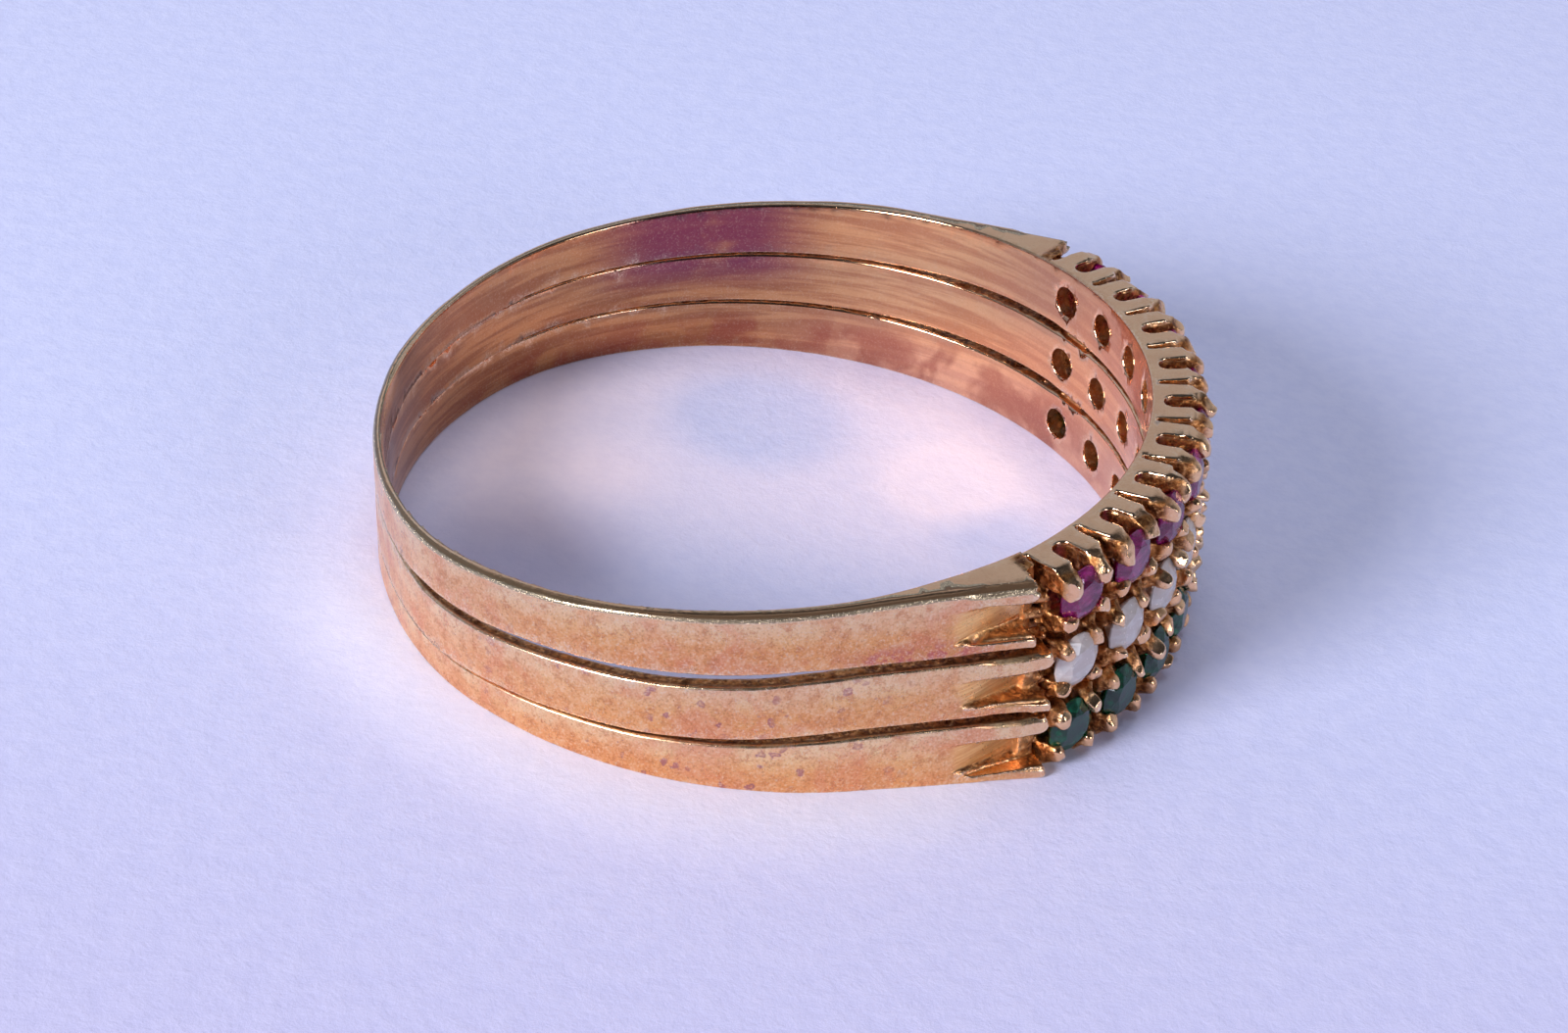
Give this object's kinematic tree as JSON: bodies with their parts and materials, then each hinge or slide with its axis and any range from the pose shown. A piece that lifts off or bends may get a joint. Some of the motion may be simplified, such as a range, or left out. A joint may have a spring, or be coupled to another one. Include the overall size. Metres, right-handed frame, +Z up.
{
  "type": "gemstone ring",
  "caption": "Worn gold finger ring of three slim bands joined at the palm, with rows of small red, white and green stones held in claws across the top.",
  "frame": {"origin": "where the axis of the finger hole meets the flat surface that the ring lies on", "axes": "+Z up from that surface, +X towards the middle of the stone-set head, +Y across the ring; the finger hole's axis leans 3.4 degrees from +Z towards -X, because the ring is wider at its head than at the back of the finger"},
  "size_m": [0.0193, 0.018, 0.0054],
  "materials": {
    "gold": "worn yellow-pink gold, satin, with coppery stains and small dots of tarnish",
    "ruby": "faceted, polished, magenta red",
    "white_stone": "faceted, milky white",
    "emerald": "faceted, polished, dark green"
  },
  "bodies": {
    "root": {"gold_ring": "gold", "ruby_1": "ruby", "ruby_2": "ruby", "ruby_3": "ruby", "ruby_4": "ruby", "ruby_5": "ruby", "ruby_6": "ruby", "ruby_7": "ruby", "ruby_8": "ruby", "ruby_9": "ruby", "white_1": "white_stone", "white_2": "white_stone", "white_3": "white_stone", "white_4": "white_stone", "white_5": "white_stone", "white_6": "white_stone", "white_7": "white_stone", "white_8": "white_stone", "white_9": "white_stone", "emerald_1": "emerald", "emerald_2": "emerald", "emerald_3": "emerald", "emerald_4": "emerald", "emerald_5": "emerald", "emerald_6": "emerald", "emerald_7": "emerald", "emerald_8": "emerald", "emerald_9": "emerald"}
  },
  "joints": []
}
